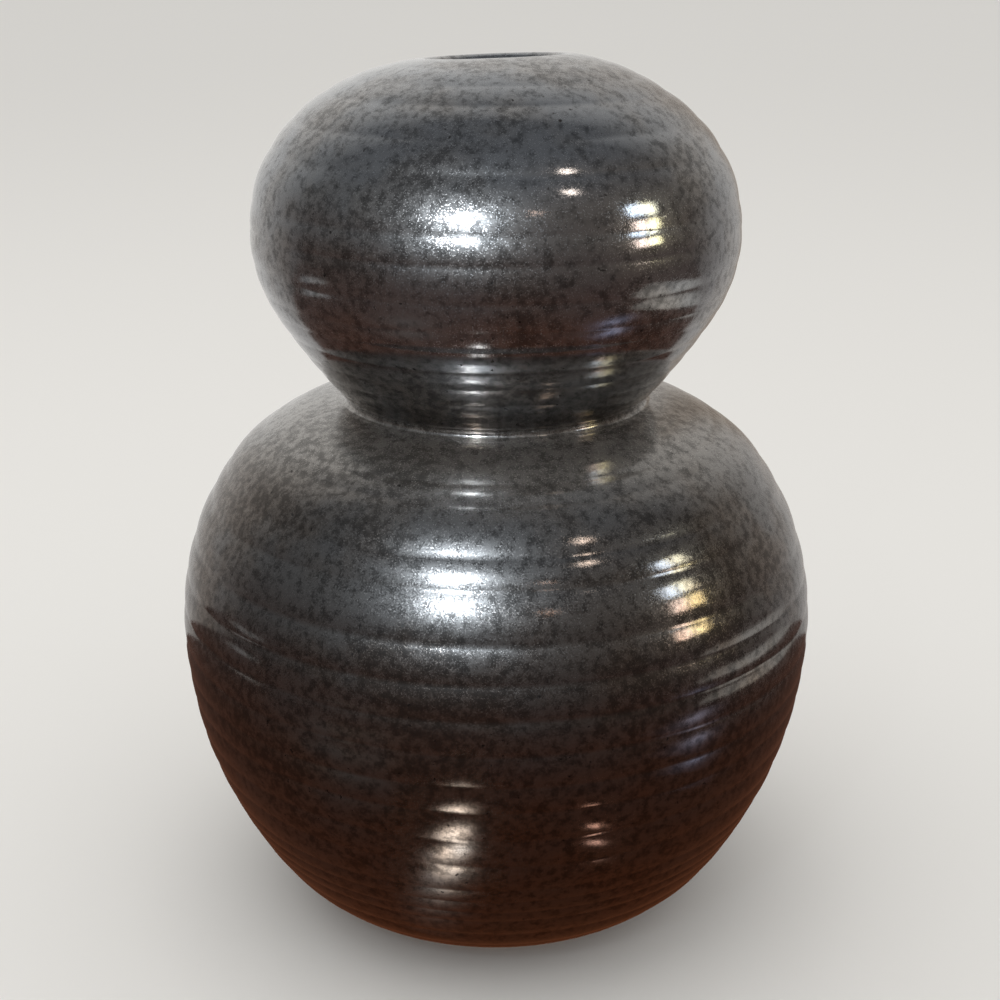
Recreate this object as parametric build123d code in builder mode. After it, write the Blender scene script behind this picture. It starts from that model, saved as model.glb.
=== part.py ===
# Double gourd vase: two wheel-thrown stoneware bulbs joined at a narrow waist and glazed inside and out.
# Millimetres, +Z up, origin on the standing plane at the centre of the foot.
import os
from math import atan2, cos, degrees, radians, sin

from build123d import *

# Glazed outside, with the heights of its widest and narrowest places as ratios of the whole height
height = 300.0
belly_radius = 112.0
waist_radius = 50.6
crown_radius = 82.0
mouth_radius = 21.6
belly_ratio = 0.355
waist_ratio = 0.62
crown_ratio = 0.813

# Clay wall, lip and floor
wall = 6.0
lip_wall = 4.4
floor_radius = 48.0
floor_thickness = 8.0

# Turned foot ring, left bare
foot_radius = 60.0
foot_height = 3.0
foot_width = 9.0
foot_recess = 2.2
foot_bevel = 0.8

# Slopes of the profile, in degrees from level
foot_angle = 17.0
shoulder_angle = 176.0
undercut_angle = 48.0
lip_angle = 173.5

# Each quarter of the profile is two arcs. Where they meet, the slope leads the straight way between the
# quarter's ends by this many degrees. The further behind, the tighter the first arc.
foot_lead_angle = -8.0
floor_lead_angle = -5.0
shoulder_lead_angle = -4.0
undercut_lead_angle = -3.5
crown_lead_angle = 2.5

# Glaze coats, and the throwing rings that show through the outer one
glaze = 0.6
ring_height = 0.35
ring_pitch = 11.5
ring_gather = 1.4
crease_radius = 1.5

# Score marks that key the waist coil to the two cut edges
score_count = 2
score_width = 1.4
score_depth = 0.8

# Depths below the glazed outside
clay_inside = glaze + wall
liner_inside = clay_inside + glaze
lip_radius = glaze + lip_wall / 2
lip_inside = glaze + lip_wall
liner_lip_inside = lip_inside + glaze

upright_angle = 90


def polar(length, angle):
    return Vector(length * cos(radians(angle)), length * sin(radians(angle)))


def sunk(point, slope, depth):
    # A point of the profile moved square to its slope, into the vase.
    return point + polar(depth, slope + 90)


def turned(start_slope, end_slope):
    # The way along an arc of radius 1 that turns from one slope to another.
    return polar(1, end_slope - 90) - polar(1, start_slope - 90)


# Fixed points of the profile, as radius and height
floor_top = foot_recess + floor_thickness
floor = Vector(floor_radius, floor_top - clay_inside)
foot = Vector(foot_radius, foot_height)
belly = Vector(belly_radius, height * belly_ratio)
waist = Vector(waist_radius, height * waist_ratio)
crown = Vector(crown_radius, height * crown_ratio)
lip_centre = Vector(mouth_radius + lip_radius, height - lip_radius)
lip = sunk(lip_centre, lip_angle, -lip_radius)


def layer(start, start_slope, end, end_slope, lead, depth, end_depth):
    # Start, meeting point and end of a quarter's two arcs at a depth below the glazed outside, and the
    # heading at the start. The first arc takes the radius that lets the second reach the end.
    straight = end - start
    meeting_slope = degrees(atan2(straight.Y, straight.X)) + lead
    first = turned(start_slope, meeting_slope)
    last = turned(meeting_slope, end_slope)
    sunk_start = sunk(start, start_slope, depth)
    sunk_end = sunk(end, end_slope, end_depth)
    radius = (sunk_end - sunk_start).cross(last).Z / first.cross(last).Z
    return sunk_start, sunk_start + first * radius, sunk_end, polar(1, start_slope)


def foot_to_belly(depth):
    return layer(foot, foot_angle, belly, upright_angle, foot_lead_angle, depth, depth)


def floor_to_belly(depth):
    return layer(floor, 0, belly, upright_angle, floor_lead_angle, depth, depth)


def belly_to_waist(depth):
    return layer(belly, upright_angle, waist, shoulder_angle, shoulder_lead_angle, depth, depth)


def waist_to_crown(depth):
    return layer(waist, undercut_angle, crown, upright_angle, undercut_lead_angle, depth, depth)


def crown_to_lip(depth, lip_depth):
    # The wall thins towards the lip, so the two ends have depths of their own.
    return layer(crown, upright_angle, lip, lip_angle, crown_lead_angle, depth, lip_depth)


def two_arcs(curve, mode=Mode.ADD):
    # Draws a quarter of the profile.
    start, meeting, end, heading = curve
    first = TangentArc(start, meeting, tangent=heading, mode=mode)
    last = TangentArc(meeting, end, tangent=first % 1, mode=mode)
    return [first, last]


def lip_round(radius):
    # Half circle round the edge of the mouth, from the outside to the inside.
    return [lip_centre + polar(radius, lip_angle + turn) for turn in (-90, 0, 90)]


def waist_round(depth):
    # Arc about the crease, from the lower bulb's cut edge to the upper bulb's.
    lower = belly_to_waist(depth)[2]
    upper = waist_to_crown(depth)[0]
    return [lower, waist - Vector(depth, 0), upper]


def scored_edge(start, end):
    # A cut edge with V-shaped score marks, which bite into the bulb on its right.
    along = (end - start).normalized()
    bite = Vector(along.Y, -along.X) * score_depth
    points = [start]
    for mark in range(score_count):
        middle = start + (end - start) * ((mark + 0.5) / score_count)
        half = along * (score_width / 2)
        points += [middle - half, middle + bite, middle + half]
    return points + [end]


def lower_edge():
    # From the inside of the wall up to the crease.
    return scored_edge(belly_to_waist(clay_inside)[2], belly_to_waist(glaze)[2])


def upper_edge():
    # From the crease to the inside of the wall.
    return scored_edge(waist_to_crown(glaze)[0], waist_to_crown(clay_inside)[0])


def throwing_rings(curve, gather):
    # One shallow arc for each ridge left by the fingers. A gather over 1 crowds them at the start.
    smooth = Wire(two_arcs(curve, Mode.PRIVATE))
    count = round(smooth.length / ring_pitch * gather)
    for ring in range(count):
        low, middle, high = [((ring + step) / count) ** gather for step in (0, 0.5, 1)]
        along = smooth % middle
        ridge = smooth @ middle + Vector(along.Y, -along.X) * ring_height
        ThreePointArc(smooth @ low, ridge, smooth @ high)


# Lower bulb: thrown wall and floor, with the foot ring turned from the same clay
foot_edge = foot_to_belly(glaze)[0]
foot_inner = foot_edge.X - foot_width

with BuildPart() as lower_bulb:
    with BuildSketch(Plane.XZ):
        with BuildLine():
            Line((0, floor_top), (floor_radius, floor_top))
            two_arcs(floor_to_belly(clay_inside))
            two_arcs(belly_to_waist(clay_inside))
            Polyline(*lower_edge())
            two_arcs(belly_to_waist(glaze))
            two_arcs(foot_to_belly(glaze))
            Polyline(
                foot_edge,
                (foot_edge.X, foot_bevel),
                (foot_edge.X - foot_bevel, 0),
                (foot_inner, 0),
                (foot_inner - foot_recess, foot_recess),
                (0, foot_recess),
                (0, floor_top),
            )
        make_face()
    revolve(axis=Axis.Z)
lower_bulb.part.label = "lower_bulb"

# Upper bulb: thrown upside down, closed in to a small rounded mouth
with BuildPart() as upper_bulb:
    with BuildSketch(Plane.XZ):
        with BuildLine():
            two_arcs(waist_to_crown(glaze))
            two_arcs(crown_to_lip(glaze, glaze))
            ThreePointArc(*lip_round(lip_wall / 2))
            two_arcs(crown_to_lip(clay_inside, lip_inside))
            two_arcs(waist_to_crown(clay_inside))
            Polyline(*upper_edge())
        make_face()
    revolve(axis=Axis.Z)
upper_bulb.part.label = "upper_bulb"

# Waist coil: soft clay pressed between the two scored edges and smoothed round inside
with BuildPart() as waist_coil:
    with BuildSketch(Plane.XZ):
        with BuildLine():
            ThreePointArc(*waist_round(glaze))
            Polyline(*upper_edge())
            ThreePointArc(*waist_round(clay_inside))
            Polyline(*lower_edge())
        make_face()
    revolve(axis=Axis.Z)
waist_coil.part.label = "waist_coil"

# Outer glaze: one coat from the foot line over both bulbs and round the lip
with BuildPart() as outer_glaze:
    with BuildSketch(Plane.XZ) as coat:
        with BuildLine():
            throwing_rings(foot_to_belly(0), 1)
            throwing_rings(belly_to_waist(0), 1)
            throwing_rings(waist_to_crown(0), ring_gather)
            throwing_rings(crown_to_lip(0, 0), 1)
            ThreePointArc(*lip_round(lip_radius))
            Line(lip_round(lip_radius)[-1], lip_round(lip_wall / 2)[-1])
            ThreePointArc(*lip_round(lip_wall / 2))
            two_arcs(crown_to_lip(glaze, glaze))
            two_arcs(waist_to_crown(glaze))
            ThreePointArc(*waist_round(glaze))
            two_arcs(belly_to_waist(glaze))
            two_arcs(foot_to_belly(glaze))
            Line(foot_edge, foot)
        make_face()
        fillet(coat.vertices().sort_by_distance(waist)[0], crease_radius)
    revolve(axis=Axis.Z)
outer_glaze.part.label = "outer_glaze"

# Liner glaze: the poured coat that seals the inside, from the lip down over the floor
liner_floor = floor_to_belly(liner_inside)[0]

with BuildPart() as liner_glaze:
    with BuildSketch(Plane.XZ):
        with BuildLine():
            Polyline((floor_radius, floor_top), (0, floor_top), (0, liner_floor.Y), liner_floor)
            two_arcs(floor_to_belly(liner_inside))
            two_arcs(belly_to_waist(liner_inside))
            ThreePointArc(*waist_round(liner_inside))
            two_arcs(waist_to_crown(liner_inside))
            two_arcs(crown_to_lip(liner_inside, liner_lip_inside))
            Line(lip_round(lip_radius)[-1], lip_round(lip_wall / 2)[-1])
            two_arcs(crown_to_lip(clay_inside, lip_inside))
            two_arcs(waist_to_crown(clay_inside))
            ThreePointArc(*waist_round(clay_inside))
            two_arcs(belly_to_waist(clay_inside))
            two_arcs(floor_to_belly(clay_inside))
        make_face()
    revolve(axis=Axis.Z)
liner_glaze.part.label = "liner_glaze"

os.makedirs("parts", exist_ok=True)
export_step(lower_bulb.part, "parts/lower_bulb.step")
export_step(upper_bulb.part, "parts/upper_bulb.step")
export_step(waist_coil.part, "parts/waist_coil.step")
export_step(outer_glaze.part, "parts/outer_glaze.step")
export_step(liner_glaze.part, "parts/liner_glaze.step")
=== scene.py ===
from math import atan, atan2, cos, degrees, pi, radians, sin, tan

import bpy
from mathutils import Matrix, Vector


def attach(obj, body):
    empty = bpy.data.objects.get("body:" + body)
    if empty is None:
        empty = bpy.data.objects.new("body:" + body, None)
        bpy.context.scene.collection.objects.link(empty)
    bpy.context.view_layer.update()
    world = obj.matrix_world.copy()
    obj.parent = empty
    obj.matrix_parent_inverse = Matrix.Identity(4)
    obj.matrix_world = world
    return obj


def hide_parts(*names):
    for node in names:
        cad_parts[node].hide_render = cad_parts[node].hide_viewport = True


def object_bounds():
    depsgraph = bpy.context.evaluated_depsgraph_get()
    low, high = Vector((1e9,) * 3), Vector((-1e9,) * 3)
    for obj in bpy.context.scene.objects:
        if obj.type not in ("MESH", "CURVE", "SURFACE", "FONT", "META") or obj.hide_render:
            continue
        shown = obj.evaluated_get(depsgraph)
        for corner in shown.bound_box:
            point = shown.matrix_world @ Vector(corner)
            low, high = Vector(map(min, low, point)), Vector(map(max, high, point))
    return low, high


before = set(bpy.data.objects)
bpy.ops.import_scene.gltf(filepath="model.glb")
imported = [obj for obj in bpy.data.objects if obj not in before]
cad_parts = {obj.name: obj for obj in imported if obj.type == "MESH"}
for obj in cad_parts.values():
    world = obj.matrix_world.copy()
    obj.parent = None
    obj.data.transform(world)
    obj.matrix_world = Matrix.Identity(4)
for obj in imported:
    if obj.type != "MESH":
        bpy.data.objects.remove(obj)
cad_low, cad_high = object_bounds()

# Lower bulb
# The large bulb, thrown from brown stoneware with a thick floor. Its foot ring and the hollow inside the
# ring were turned with a loop tool once the clay was firm, and they stay bare of glaze.
height = cad_high.z
glaze = 0.0006
wall = 0.006
floor_thickness = 0.008
foot_height = 0.003
foot_width = 0.009
foot_recess = 0.0022
foot_soft_edge = 0.0006
foot_soft_steps = 5
turning_width = 0.0034
turning_depth = 0.00018

floor_radius = 0.048
foot_radius = 0.060
belly_radius = 0.112
belly_ratio = 0.355
waist_radius = 0.0506
waist_ratio = 0.62

# Slopes in degrees from level. Each quarter of the outline is two arcs, and where they meet the slope leads
# the straight way between the quarter's ends by the quarter's lead.
upright = 90
foot_slope = 17
shoulder_slope = 176
foot_lead = -8
floor_lead = -5
shoulder_lead = -4

clay_inside = glaze + wall
floor_top = foot_recess + floor_thickness
floor = Vector((floor_radius, 0, floor_top - clay_inside))
foot = Vector((foot_radius, 0, foot_height))
belly = Vector((belly_radius, 0, belly_ratio * height))
waist = Vector((waist_radius, 0, waist_ratio * height))


def polar(length, slope):
    """A step of some length along a slope, in the plane that outlines are drawn in."""
    return Vector((length * cos(radians(slope)), 0, length * sin(radians(slope))))


def sunk(point, slope, depth):
    """A point of the glazed outline moved square to its slope, into the vase."""
    return point + polar(depth, slope + 90)


def layer(start, start_slope, end, end_slope, lead, depth, end_depth):
    """Radius, first slope and last slope of a quarter's two arcs, at a depth below the glazed outside."""
    straight = end - start
    meeting_slope = degrees(atan2(straight.z, straight.x)) + lead
    first = polar(1, meeting_slope - 90) - polar(1, start_slope - 90)
    last = polar(1, end_slope - 90) - polar(1, meeting_slope - 90)
    span = sunk(end, end_slope, end_depth) - sunk(start, start_slope, depth)
    area = first.cross(last).y
    near_radius = span.cross(last).y / area
    far_radius = first.cross(span).y / area
    return [(near_radius, start_slope, meeting_slope), (far_radius, meeting_slope, end_slope)]


def foot_to_belly(depth):
    return layer(foot, foot_slope, belly, upright, foot_lead, depth, depth)


def floor_to_belly(depth):
    return layer(floor, 0, belly, upright, floor_lead, depth, depth)


def belly_to_waist(depth):
    return layer(belly, upright, waist, shoulder_slope, shoulder_lead, depth, depth)


class Profile:
    """A cut through a thrown piece, drawn by one vertex and then spun round the axis of the vase."""

    segments = 144
    weld_distance = 0.00001
    smooth_angle = radians(50)

    def __init__(self, name, start):
        bpy.ops.object.select_all(action="DESELECT")
        bpy.ops.mesh.primitive_plane_add(size=wall)
        self.piece = bpy.context.object
        self.piece.name = name
        self.tip = start
        bpy.ops.object.mode_set(mode="EDIT")
        bpy.ops.mesh.merge(type="CENTER")
        bpy.ops.transform.translate(value=start)

    def line(self, *points):
        for point in points:
            step = {"value": point - self.tip}
            bpy.ops.mesh.extrude_region_move(TRANSFORM_OT_translate=step)
            self.tip = point

    def bend(self, radius, first, last, steps):
        centre = sunk(self.tip, first, radius)
        turn = radians(last - first)
        bpy.ops.mesh.spin(steps=steps, angle=turn, center=centre, axis=(0, 1, 0))
        self.tip = sunk(centre, last, -radius)

    def follow(self, arcs, steps=8):
        for radius, first, last in arcs:
            self.bend(radius, first, last, steps)

    def back(self, arcs, steps=8):
        for radius, first, last in reversed(arcs):
            self.bend(radius, last, first, steps)

    def spun(self):
        bpy.ops.mesh.select_all(action="SELECT")
        bpy.ops.mesh.spin(steps=self.segments, angle=2 * pi, center=(0, 0, 0), axis=(0, 0, 1))
        bpy.ops.mesh.select_all(action="SELECT")
        bpy.ops.mesh.remove_doubles(threshold=self.weld_distance)
        bpy.ops.mesh.normals_make_consistent(inside=False)
        bpy.ops.object.mode_set(mode="OBJECT")
        bpy.ops.object.shade_smooth_by_angle(angle=self.smooth_angle)
        return self.piece


def axis_point(level):
    return Vector((0, 0, level))


foot_edge = sunk(foot, foot_slope, glaze)
foot_inner = foot_edge.x - foot_width
hollow_edge = foot_inner - foot_recess

cut = Profile("thrown_lower_bulb", axis_point(foot_recess))
turnings = int(hollow_edge / turning_width)
for turning in range(turnings):
    ridge = hollow_edge * (turning + 0.5) / turnings
    valley = hollow_edge * (turning + 1) / turnings
    cut.line(Vector((ridge, 0, foot_recess - turning_depth)), Vector((valley, 0, foot_recess)))
cut.line(Vector((foot_inner - foot_soft_edge, 0, foot_soft_edge)))
cut.line(Vector((foot_inner, 0, 0)), Vector((foot_edge.x - foot_soft_edge, 0, 0)))
cut.bend(foot_soft_edge, 0, upright, foot_soft_steps)
cut.line(foot_edge)
cut.follow(foot_to_belly(glaze))
cut.follow(belly_to_waist(glaze))
cut.line(sunk(waist, shoulder_slope, clay_inside))
cut.back(belly_to_waist(clay_inside))
cut.back(floor_to_belly(clay_inside))
cut.line(axis_point(floor_top))
lower_bulb = cut.spun()


class Shade:
    """One output of a material's nodes. A plain sign between two of them, or a number, adds a Math node."""

    def __init__(self, tree, socket=None):
        self.tree = tree
        self.socket = socket

    def node(self, kind, settings, sockets, output=0):
        made = self.tree.nodes.new(kind)
        for name, value in settings.items():
            setattr(made, name, value)
        for name, value in sockets.items():
            if isinstance(value, Shade):
                self.tree.links.new(value.socket, made.inputs[name])
            else:
                made.inputs[name].default_value = value
        return Shade(self.tree, made.outputs[output] if made.outputs else None)

    def math(self, operation, left, right):
        return self.node("ShaderNodeMath", {"operation": operation}, {0: left, 1: right})

    def __add__(self, other):
        return self.math("ADD", self, other)

    def __sub__(self, other):
        return self.math("SUBTRACT", self, other)

    def __rsub__(self, other):
        return self.math("SUBTRACT", other, self)

    def __mul__(self, other):
        return self.math("MULTIPLY", self, other)

    __radd__ = __add__
    __rmul__ = __mul__

    def between(self, low, high):
        """0 below low, 1 above high and a smooth step from one to the other."""
        levels = {"Value": self, "From Min": low, "From Max": high}
        return self.node("ShaderNodeMapRange", {"interpolation_type": "SMOOTHSTEP"}, levels)

    def blend(self, low, high):
        """The first colour where this is 0 and the second where it is 1."""
        factor, first, second = 0, 6, 7
        colours = {factor: self, first: low, second: high}
        return self.node("ShaderNodeMix", {"data_type": "RGBA"}, colours, 2)

    def noise(self, scale, detail=2, roughness=0.5):
        """A soft pattern read at this place, from 0 to 1."""
        sockets = {"Vector": self, "Scale": scale, "Detail": detail, "Roughness": roughness}
        return self.node("ShaderNodeTexNoise", {}, sockets)

    def stretched(self, x, y, z):
        """This place with its axes scaled."""
        return self.node("ShaderNodeMapping", {}, {"Vector": self, "Scale": (x, y, z)})

    def bump(self, strength, distance):
        """A surface normal that follows this height."""
        sockets = {"Height": self, "Strength": strength, "Distance": distance}
        return self.node("ShaderNodeBump", {}, sockets)


def new_material(name):
    """An empty material, and the object coordinates that its patterns read."""
    material = bpy.data.materials.new(name)
    material.use_nodes = True
    material.node_tree.nodes.clear()
    place = Shade(material.node_tree).node("ShaderNodeTexCoord", {}, {}, "Object")
    return material, place


def finish_material(place, surface):
    """Gives a material its surface, as values and links for the sockets of one shader."""
    shader = place.node("ShaderNodeBsdfPrincipled", {}, surface)
    place.node("ShaderNodeOutputMaterial", {}, {"Surface": shader})


def dress(piece, material):
    """Puts a finish on a piece and seats it on the vase."""
    piece.data.materials.clear()
    piece.data.materials.append(material)
    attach(piece, "root")


stoneware, place = new_material("bare_stoneware")
grit = place.noise(1400, 3, 0.7)
blotch = place.noise(55, 4, 0.6)
iron = place.noise(620, 2, 0.6).between(0.63, 0.70)
clay = (blotch * 0.7 + grit * 0.3).blend((0.235, 0.140, 0.085, 1), (0.410, 0.275, 0.180, 1))
finish_material(place, {
    "Base Color": iron.blend(clay, (0.060, 0.032, 0.020, 1)),
    "Roughness": 0.72 + grit * 0.22,
    "Normal": (grit + blotch * 0.4).bump(0.35, 0.0004),
})
dress(lower_bulb, stoneware)
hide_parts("lower_bulb")

# Upper bulb
# The smaller bulb of the same stoneware, thrown upside down and closed in to a small mouth. Its wall thins to
# a rounded lip, which settled a little lower on the left and at the back. It lies wholly under glaze.
lip_wall = 0.0044
lip_steps = 10
mouth_radius = 0.0216
crown_radius = 0.082
crown_ratio = 0.813
lip_lean_degrees = (-3.0, -3.3, 0.0)
lip_lean_reach = 0.060

undercut_slope = 48
lip_slope = 173.5
undercut_lead = -3.5
crown_lead = 2.5

lip_radius = glaze + lip_wall / 2
lip_inside = glaze + lip_wall
crown = Vector((crown_radius, 0, crown_ratio * height))
lip_centre = Vector((mouth_radius + lip_radius, 0, height - lip_radius))
lip = sunk(lip_centre, lip_slope, -lip_radius)


def waist_to_crown(depth):
    return layer(waist, undercut_slope, crown, upright, undercut_lead, depth, depth)


def crown_to_lip(depth, lip_depth):
    return layer(crown, upright, lip, lip_slope, crown_lead, depth, lip_depth)


def settle_lip(piece):
    """Leans the mouth, and less and less of the bulb round it, as the soft clay settled."""
    ends = []
    for lean in ((0, 0, 0), lip_lean_degrees):
        bpy.ops.object.empty_add(location=axis_point(lip_centre.z), rotation=[radians(turn) for turn in lean])
        ends.append(bpy.context.object)
    bpy.ops.object.select_all(action="DESELECT")
    piece.select_set(True)
    bpy.context.view_layer.objects.active = piece
    bpy.ops.object.modifier_add(type="WARP")
    warp = piece.modifiers[-1]
    warp.object_from, warp.object_to = ends
    warp.falloff_radius = lip_lean_reach
    bpy.ops.object.modifier_apply(modifier=warp.name)
    for end in ends:
        bpy.data.objects.remove(end)


cut = Profile("thrown_upper_bulb", sunk(waist, undercut_slope, glaze))
cut.follow(waist_to_crown(glaze))
cut.follow(crown_to_lip(glaze, glaze))
cut.bend(lip_wall / 2, lip_slope, lip_slope + 180, lip_steps)
cut.back(crown_to_lip(clay_inside, lip_inside))
cut.back(waist_to_crown(clay_inside))
cut.line(sunk(waist, undercut_slope, glaze))
upper_bulb = cut.spun()
settle_lip(upper_bulb)
dress(upper_bulb, stoneware)
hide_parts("upper_bulb")

# Waist coil
# The coil of soft clay that joins the two bulbs over their scored edges. It is the same stoneware, and it is
# hidden between the bulbs and the two glazes.
waist_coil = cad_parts["waist_coil"]
waist_coil.data.materials.clear()
waist_coil.data.materials.append(stoneware)

# Liner glaze
# A satin black-brown glaze, poured in and swilled round so that the stoneware holds water. It runs from the
# inner edge of the lip down over the floor, in runs and clouds.
liner_inside = clay_inside + glaze
liner_steps = 16
waist_steps = 12

cut = Profile("poured_liner_glaze", axis_point(floor_top + glaze))
cut.line(sunk(floor, 0, liner_inside))
cut.follow(floor_to_belly(liner_inside), liner_steps)
cut.follow(belly_to_waist(liner_inside), liner_steps)
cut.bend(-liner_inside, shoulder_slope, undercut_slope, waist_steps)
cut.follow(waist_to_crown(liner_inside), liner_steps)
cut.follow(crown_to_lip(liner_inside, lip_inside + glaze), liner_steps)
cut.line(sunk(lip, lip_slope, lip_inside))
cut.back(crown_to_lip(clay_inside, lip_inside))
cut.back(waist_to_crown(clay_inside))
cut.bend(-clay_inside, undercut_slope, shoulder_slope, waist_steps)
cut.back(belly_to_waist(clay_inside))
cut.back(floor_to_belly(clay_inside))
cut.line(axis_point(floor_top))
liner_glaze = cut.spun()
settle_lip(liner_glaze)

black_liner, place = new_material("black_liner_glaze")
cloud = place.noise(40, 4, 0.6)
run = place.stretched(90, 90, 12).noise(1, 3, 0.6)
thin = (cloud * 0.6 + run * 0.4).between(0.35, 0.70)
finish_material(place, {
    "Base Color": thin.blend((0.010, 0.008, 0.007, 1), (0.042, 0.026, 0.018, 1)),
    "Roughness": 0.42 + cloud * 0.20,
    "Specular IOR Level": 0.25,
    "Normal": (run + cloud).bump(0.12, 0.0006),
})
dress(liner_glaze, black_liner)
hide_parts("liner_glaze")

# Outer glaze
# A metallic gunmetal glaze, dipped over both bulbs down to the foot line and pooled in the waist crease.
# It is dark and mirror-like with fine rough grains and a matt bloom, and glossier near the foot and under the
# upper bulb. A paler, less metallic band on the shoulder under the upper bulb is painted light that lifts the
# dark there. The ridges of the throwing rings show through it.
crease_radius = 0.0016
crease_steps = 16
crease_back_steps = 6
ridge_rise_ratio = 0.042
ridge_steps = 14

# Widths of the ridges in millimetres, each bulb from its foot to its top
lower_ridges = (
    12, 12, 11.5, 10.5, 6, 6.5, 6.5, 12.5, 11.5, 11.5, 9.5, 11, 11.5, 11, 12, 16.5, 10, 18, 7.5, 12, 11.5,
)
upper_ridges = (4.5, 9.5, 8, 8.5, 8.5, 7, 9.5, 11.5, 8.5, 18, 12, 14, 10, 12, 11)


def along(start, arcs, distance):
    """The point and slope at a distance along arcs that run into each other."""
    point, slope = start, arcs[0][1]
    for radius, first, last in arcs:
        turn = min(degrees(distance / radius), last - first)
        centre = sunk(point, first, radius)
        slope = first + turn
        point = sunk(centre, slope, -radius)
        distance -= radius * radians(turn)
    return point, slope


def throw_ridges(cut, start, arcs, widths, skip_start, skip_end):
    """Draws arcs as a row of shallow convex ridges, which share out the length between the two skips. The
    fingers pressed most where the wall stands upright, so the ridges fade where it lies flat."""
    length = sum(radius * radians(last - first) for radius, first, last in arcs)
    scale = (length - skip_start - skip_end) / sum(widths)
    reached = skip_start
    for width in widths:
        reached += width * scale
        end = along(start, arcs, reached)[0]
        top, slope = along(start, arcs, reached - width * scale / 2)
        top = sunk(top, slope, -ridge_rise_ratio * sin(radians(slope)) * width * scale)
        chord = end - cut.tip
        half_turn = degrees(2 * atan(2 * (top - (cut.tip + end) / 2).length / chord.length))
        radius = chord.length / (2 * sin(radians(half_turn)))
        heading = degrees(atan2(chord.z, chord.x)) % 360
        cut.bend(radius, heading - half_turn, heading + half_turn, ridge_steps)


crease_turn = shoulder_slope - undercut_slope
crease_skip = crease_radius * tan(radians(crease_turn / 2))

cut = Profile("gunmetal_outer_glaze", foot)
throw_ridges(cut, foot, foot_to_belly(0) + belly_to_waist(0), lower_ridges, 0, crease_skip)
cut.bend(-crease_radius, shoulder_slope, undercut_slope, crease_steps)
throw_ridges(cut, waist, waist_to_crown(0) + crown_to_lip(0, 0), upper_ridges, crease_skip, 0)
cut.bend(lip_radius, lip_slope, lip_slope + 180, 2 * lip_steps)
cut.line(sunk(lip, lip_slope, lip_inside))
cut.bend(lip_wall / 2, lip_slope + 180, lip_slope, lip_steps)
cut.back(crown_to_lip(glaze, glaze))
cut.back(waist_to_crown(glaze))
cut.bend(-glaze, undercut_slope, shoulder_slope, crease_back_steps)
cut.back(belly_to_waist(glaze))
cut.back(foot_to_belly(glaze))
cut.line(foot)
outer_glaze = cut.spun()

# Unevenness of hand and kiln, on the outside of the coat only
outside = outer_glaze.vertex_groups.new(name="outside")
for vertex in outer_glaze.data.vertices:
    middle = axis_point(belly.z if vertex.co.z < waist.z else crown.z)
    if vertex.normal.dot(vertex.co - middle) > 0:
        outside.add([vertex.index], 1, "REPLACE")

for name, size, reach in (("slow_wander", 0.060, 0.0005), ("finger_dabs", 0.018, 0.00016)):
    unevenness = bpy.data.textures.new(name, "CLOUDS")
    unevenness.noise_scale = size
    bpy.ops.object.modifier_add(type="DISPLACE")
    displace = outer_glaze.modifiers[-1]
    displace.texture = unevenness
    displace.texture_coords = "LOCAL"
    displace.strength = reach
    displace.vertex_group = outside.name
    bpy.ops.object.modifier_apply(modifier=displace.name)
outer_glaze.vertex_groups.clear()
settle_lip(outer_glaze)

# Heights between which the glaze changes, from the foot up, and its colours
foot_band = (0.080, 0.135)
shoulder_band = (0.164, 0.182)
crease_band = (0.185, 0.190)
upper_band = (0.190, 0.225)
undercut_band = (0.200, 0.225)
lower_warm = (0.222, 0.182, 0.152, 1)
lower_cool = (0.190, 0.183, 0.179, 1)
upper_warm = (0.358, 0.340, 0.325, 1)
upper_cool = (0.336, 0.348, 0.366, 1)
# The paler colour of a painted lift of light on the shoulder under the upper bulb
shoulder_lift_colour = (0.330, 0.312, 0.290, 1)
pit_brown = (0.030, 0.022, 0.018, 1)

gunmetal, place = new_material("speckled_gunmetal_glaze")
grain = place.noise(1900, 3, 0.7)
mottle = place.noise(330, 4, 0.65)
patch = place.noise(26, 3, 0.6)
band = place.stretched(9, 9, 330).noise(1, 3, 0.6)
level = place.node("ShaderNodeSeparateXYZ", {}, {"Vector": place}, "Z")
matt = grain * 0.6 + mottle * 0.6 + patch * 0.35 + band * 0.15 + level.between(0.10, 0.24) * 0.05
bloom = 0.35 + matt.between(0.79, 0.95) * 0.65
above_crease = level.between(*crease_band)
# Painted light: a paler, less metallic band lifts the dark on the shoulder under the upper bulb
lifted_shoulder = level.between(*shoulder_band) * (1 - above_crease)
glossy_foot = 1 - level.between(*foot_band)
glossy_undercut = above_crease * (1 - level.between(*undercut_band))
glossy = glossy_foot + glossy_undercut * 0.8
sparkle = grain.between(0.53, 0.66) * (0.26 - glossy * 0.19)
pit = place.noise(520, 2, 0.5).between(0.70, 0.74)
cool = patch.between(0.38, 0.62)
lower_tint = cool.blend(lower_warm, lower_cool)
upper_tint = cool.blend(upper_warm, upper_cool)
shoulder_tint = lifted_shoulder.blend(lower_tint, shoulder_lift_colour)
tint = level.between(*upper_band).blend(shoulder_tint, upper_tint)
thick = (mottle + patch * 0.4 + grain * 0.3).between(0.68, 0.95)
metal = place.node("ShaderNodeVectorMath", {"operation": "SCALE"}, {0: tint, "Scale": 0.48 + thick * 0.58})
finish_material(place, {
    "Base Color": pit.blend(metal, pit_brown),
    "Metallic": 1 - lifted_shoulder * 0.22,
    "Roughness": 0.04 + sparkle,
    "Coat Weight": bloom * (1 - glossy * 0.7),
    "Coat Roughness": 0.36,
    "Coat IOR": 1.70,
    "Normal": (grain * 0.3 + mottle * 0.4).bump(0.14, 0.0004),
})
dress(outer_glaze, gunmetal)
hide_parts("outer_glaze")
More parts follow.
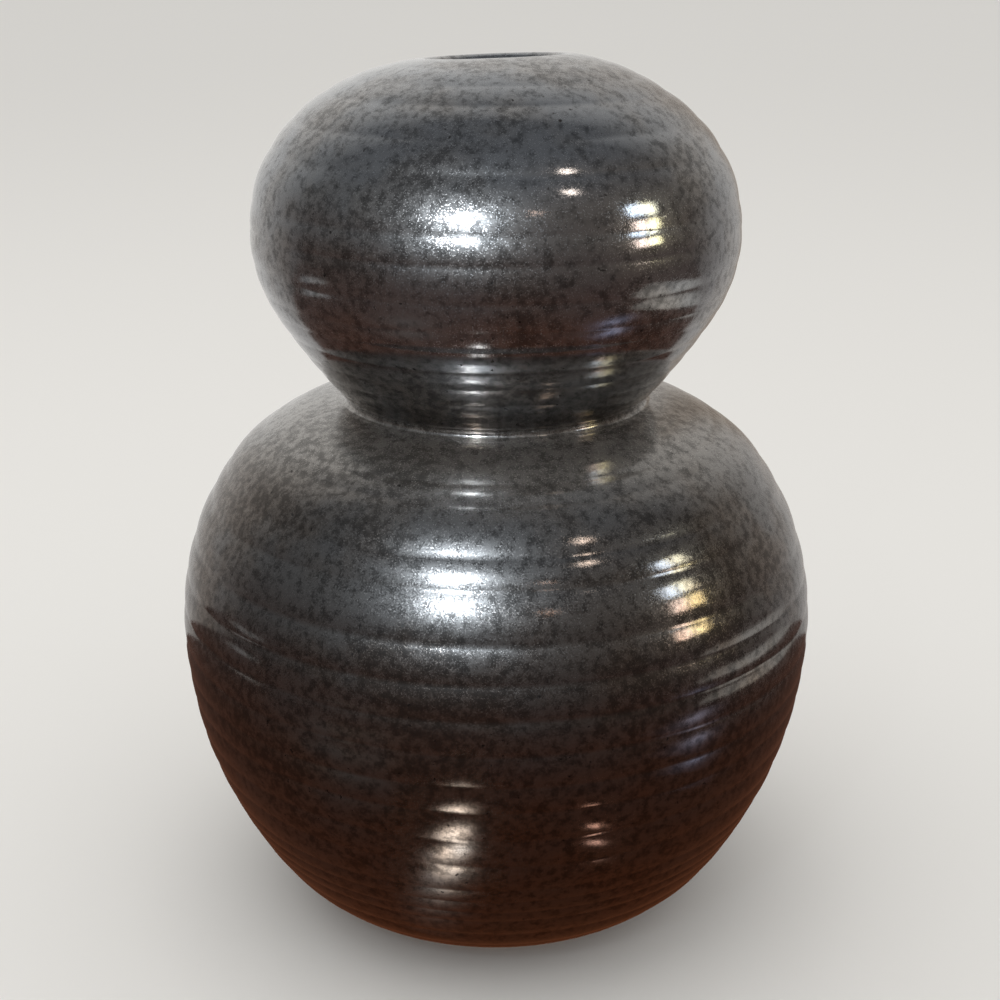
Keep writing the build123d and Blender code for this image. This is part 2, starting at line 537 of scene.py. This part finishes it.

# Floor and cards
# A plain pale floor. The studio cards are seen only in the glaze: a dark one under the vase, darker near it
# as painted shade, a pale one close behind it with a painted brown shadow on its right, a pale strip on each
# side, a faint grey glow and three small glints. They stand for a room round the vase.
floor_reach = 12.0
card_reach = 1.5
pale_card_distance = 0.19
shade_distance = 0.188
card_lift = 0.0002


def card(name, low, high, material):
    """A flat upright or level rectangle between two corners, on the stage."""
    bpy.ops.object.select_all(action="DESELECT")
    bpy.ops.mesh.primitive_plane_add(size=1)
    made = bpy.context.object
    made.name = name
    corners = [Vector(low), Vector(high)]
    if low[1] == high[1]:
        made.rotation_euler = (radians(90), 0, 0)
    made.location = (corners[0] + corners[1]) / 2
    made.scale = (high[0] - low[0], high[1] - low[1] or high[2] - low[2], 1)
    made.data.materials.append(material)
    return made


pale_floor, place = new_material("pale_floor")
finish_material(place, {
    "Base Color": place.noise(3, 2, 0.5).blend((0.79, 0.78, 0.76, 1), (0.82, 0.81, 0.79, 1)),
    "Roughness": 0.85,
})
ground = card("pale_floor", (-floor_reach, -floor_reach, 0), (floor_reach, floor_reach, 0), pale_floor)
ground.visible_glossy = False


def reflected_card(name, low, high, centre, reach, near_colour, far_colour=None, fade=1):
    """A card that only the glaze shows. Its glow fades with the distance from its centre, counted in reaches
    along each axis, to another colour or to nothing."""
    glow, place = new_material(name)
    here = place.node("ShaderNodeNewGeometry", {}, {}, "Position")
    offset = place.node("ShaderNodeVectorMath", {"operation": "SUBTRACT"}, {0: here, 1: centre})
    measure = {0: offset.stretched(*[1 / length for length in reach])}
    distance = place.node("ShaderNodeVectorMath", {"operation": "LENGTH"}, measure, "Value")
    strength = distance.math("DIVIDE", 1.0, 1.0 + distance * distance)
    strength = strength.math("POWER", strength, fade)
    near = place.node("ShaderNodeEmission", {}, {"Color": near_colour})
    if far_colour:
        far = place.node("ShaderNodeEmission", {}, {"Color": far_colour})
    else:
        far = place.node("ShaderNodeBsdfTransparent", {}, {})
    shader = place.node("ShaderNodeMixShader", {}, {0: strength, 1: far, 2: near})
    place.node("ShaderNodeOutputMaterial", {}, {"Surface": shader})
    made = card(name, low, high, glow)
    made.visible_camera = False
    made.visible_diffuse = False
    made.visible_shadow = False
    made.visible_transmission = False


# Painted shade: the dark card's glow is darker near the vase than far from it
ground_near = (0.112, 0.033, 0.011, 1)
ground_far = (0.084, 0.062, 0.056, 1)
reflected_card(
    "dark_card", (-card_reach, -0.6, card_lift), (card_reach, pale_card_distance, card_lift),
    (0, 0, 0), (0.22, 0.22, 0.22), ground_near, ground_far,
)
reflected_card(
    "pale_card", (-card_reach, pale_card_distance, 0), (card_reach, pale_card_distance, card_reach),
    (-0.03, pale_card_distance, 0.27), (0.33, 0.33, 0.48), (0.76, 0.75, 0.73, 1),
)
# A painted shadow of the vase on the pale card, seen only in the glaze
reflected_card(
    "shade_card", (-0.05, shade_distance, 0), (0.31, shade_distance, 1.0),
    (0.13, shade_distance, 0.20), (0.06, 1, 0.30), (0.30, 0.25, 0.205, 1), fade=2,
)
glow_lift = 1.5 * card_lift
reflected_card(
    "grey_glow", (-0.55, -0.55, glow_lift), (0.10, 0.08, glow_lift),
    (-0.20, -0.21, glow_lift), (0.10, 0.10, 1), (0.135, 0.110, 0.100, 1), fade=2,
)
strip_lift = 2 * card_lift
reflected_card(
    "right_strip", (0.39, -0.20, strip_lift), (0.62, pale_card_distance, strip_lift),
    (0.40, 0.0, strip_lift), (0.30, 0.20, 1), (0.70, 0.68, 0.64, 1), ground_far,
)
reflected_card(
    "left_strip", (-0.74, -0.10, strip_lift), (-0.58, 0.10, strip_lift),
    (-0.62, 0.0, strip_lift), (0.15, 0.10, 1), (0.45, 0.45, 0.45, 1), ground_far,
)
reflected_card(
    "lamp_glint", (-0.110, -0.27, strip_lift), (0.050, -0.075, strip_lift),
    (-0.030, -0.150, strip_lift), (0.018, 0.056, 1), (5.6, 5.4, 5.1, 1), fade=6,
)
reflected_card(
    "warm_glint", (0.052, -0.19, strip_lift), (0.100, -0.090, strip_lift),
    (0.069, -0.138, strip_lift), (0.008, 0.016, 1), (3.8, 2.2, 1.7, 1), fade=6,
)
reflected_card(
    "window_glint", (0.17, -0.20, strip_lift), (0.33, -0.08, strip_lift),
    (0.25, -0.140, strip_lift), (0.045, 0.025, 1), (0.60, 0.64, 0.90, 1), fade=2,
)

# Room and lights
# Soft studio light: a dim room in front, a grey ceiling, a small cool lamp by the camera, two warm ones high
# on the right, a window of four panes beside them and a broad soft light for the floor.
room = bpy.data.worlds.new("soft_room")
room.use_nodes = True
room.node_tree.nodes.clear()
bpy.context.scene.world = room
direction = Shade(room.node_tree).node("ShaderNodeTexCoord", {}, {}, "Generated")
rightward, backward, upward = (
    direction.node("ShaderNodeSeparateXYZ", {}, {"Vector": direction}, axis) for axis in "XYZ"
)
front = rightward.between(-0.7, 0.5).blend((0.140, 0.142, 0.145, 1), (0.118, 0.098, 0.084, 1))
behind = rightward.between(-0.7, 0.7).blend((0.150, 0.155, 0.160, 1), (0.168, 0.150, 0.132, 1))
sides = backward.between(0.0, 0.40).blend(front, behind)
above = upward.between(0.40, 0.95).blend(sides, (0.124, 0.131, 0.142, 1))
around = upward.between(-0.30, 0.45).blend((0.086, 0.063, 0.055, 1), above)
mirrored = direction.node("ShaderNodeLightPath", {}, {}, "Is Glossy Ray")
shown = mirrored.blend((0.86, 0.85, 0.83, 1), around)
glow = direction.node("ShaderNodeBackground", {}, {"Color": shown, "Strength": 1.0})
direction.node("ShaderNodeOutputWorld", {}, {"Surface": glow})


middle_height = 0.2
middle = (0, 0, middle_height)
far_lamp_distance = 2.5
window_distance = 1.6
pane_width = 0.15
pane_rise = 0.25
pane_power = 0.75


def lamp(name, place, aim, width, rise, power, colour):
    """An oblong area light at one point that faces another. It shows in the glaze and lights nothing else."""
    bpy.ops.object.light_add(type="AREA", location=place)
    made = bpy.context.object
    made.name = name
    made.rotation_euler = (Vector(aim) - Vector(place)).to_track_quat("-Z", "Y").to_euler()
    made.data.shape = "RECTANGLE"
    made.data.size = width
    made.data.size_y = rise
    made.data.energy = power
    made.data.color = colour
    made.visible_camera = False
    made.visible_diffuse = False
    return made


def bearing(azimuth, elevation, distance):
    """A point round the vase, by its turn to the right of the camera and its rise above the middle."""
    level = distance * cos(radians(elevation))
    rise = middle_height + distance * sin(radians(elevation))
    return (level * sin(radians(azimuth)), -level * cos(radians(azimuth)), rise)


main_lamp = lamp("main_lamp", (-0.125, -0.48, 0.435), middle, 0.030, 0.030, 4.4, (0.85, 0.93, 1.0))
main_lamp.data.shape = "DISK"
lamp("warm_lamp", bearing(42, 46, far_lamp_distance), middle, 0.20, 0.20, 0.9, (1.0, 0.84, 0.72))
lamp("peach_lamp", bearing(19, 28, far_lamp_distance), middle, 0.08, 0.08, 0.12, (1.0, 0.72, 0.58))
panes = (
    ("window_top_left", 66.8, 20, (0.74, 0.86, 1.0)),
    ("window_top_right", 73.2, 20, (1.0, 0.96, 0.70)),
    ("window_foot_left", 66.8, 7, (1.0, 0.78, 0.66)),
    ("window_foot_right", 73.2, 7, (1.0, 0.90, 0.50)),
)
for name, turn, rise, colour in panes:
    lamp(name, bearing(turn, rise, window_distance), middle, pane_width, pane_rise, pane_power, colour)

# The light on the floor, which the glaze doesn't mirror
overhead = lamp("soft_overhead", (-0.3, -0.2, 2.0), (0, 0, 0), 1.6, 1.6, 8.0, (1.0, 0.99, 0.97))
overhead.visible_glossy = False
overhead.visible_diffuse = True

# Camera
# At the photograph's viewing angle, just above the mouth and looking down at the belly.
view_distance = 0.5235
view_height = 0.3339
view_drop = 19.7
view_turn = -0.15
view_lens = 55.8
view_sensor = 36.0

bpy.ops.object.camera_add(location=(0, -view_distance, view_height))
camera = bpy.context.object
camera.rotation_euler = (radians(90 - view_drop), 0, radians(view_turn))
camera.data.lens = view_lens
camera.data.sensor_width = view_sensor
bpy.context.scene.camera = camera
bpy.context.scene.view_settings.view_transform = "Standard"
